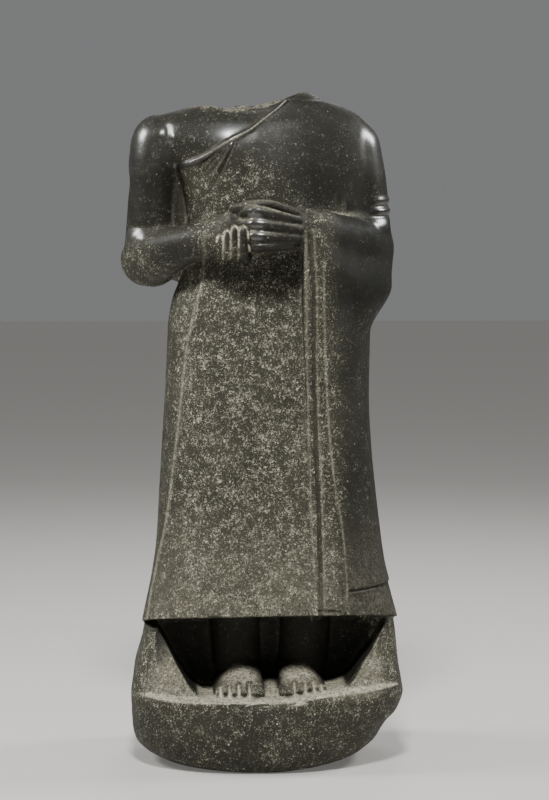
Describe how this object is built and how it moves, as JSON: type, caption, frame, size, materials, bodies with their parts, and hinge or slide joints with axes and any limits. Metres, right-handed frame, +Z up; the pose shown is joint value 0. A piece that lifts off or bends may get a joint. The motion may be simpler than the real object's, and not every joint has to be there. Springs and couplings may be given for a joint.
{
  "type": "headless standing ruler statue",
  "caption": "Headless standing figure of a ruler with clasped hands in a long shawl, carved with its rounded base from one block of dark stone.",
  "frame": {"origin": "bottom centre of the bounding box, on the surface that the base rests on", "axes": "+Z up along the figure's height; the figure faces -Y; its bare arm is on the -X side and its draped arm on the +X side"},
  "size_m": [0.5184, 0.4004, 1.24],
  "materials": {
    "stone": "dark grey-green diorite-like stone, polished on the shoulders, arms and hands, speckled and more matte on the robe and base, rough and paler at the neck break"
  },
  "bodies": {
    "root": {"statue": "stone"}
  },
  "joints": []
}
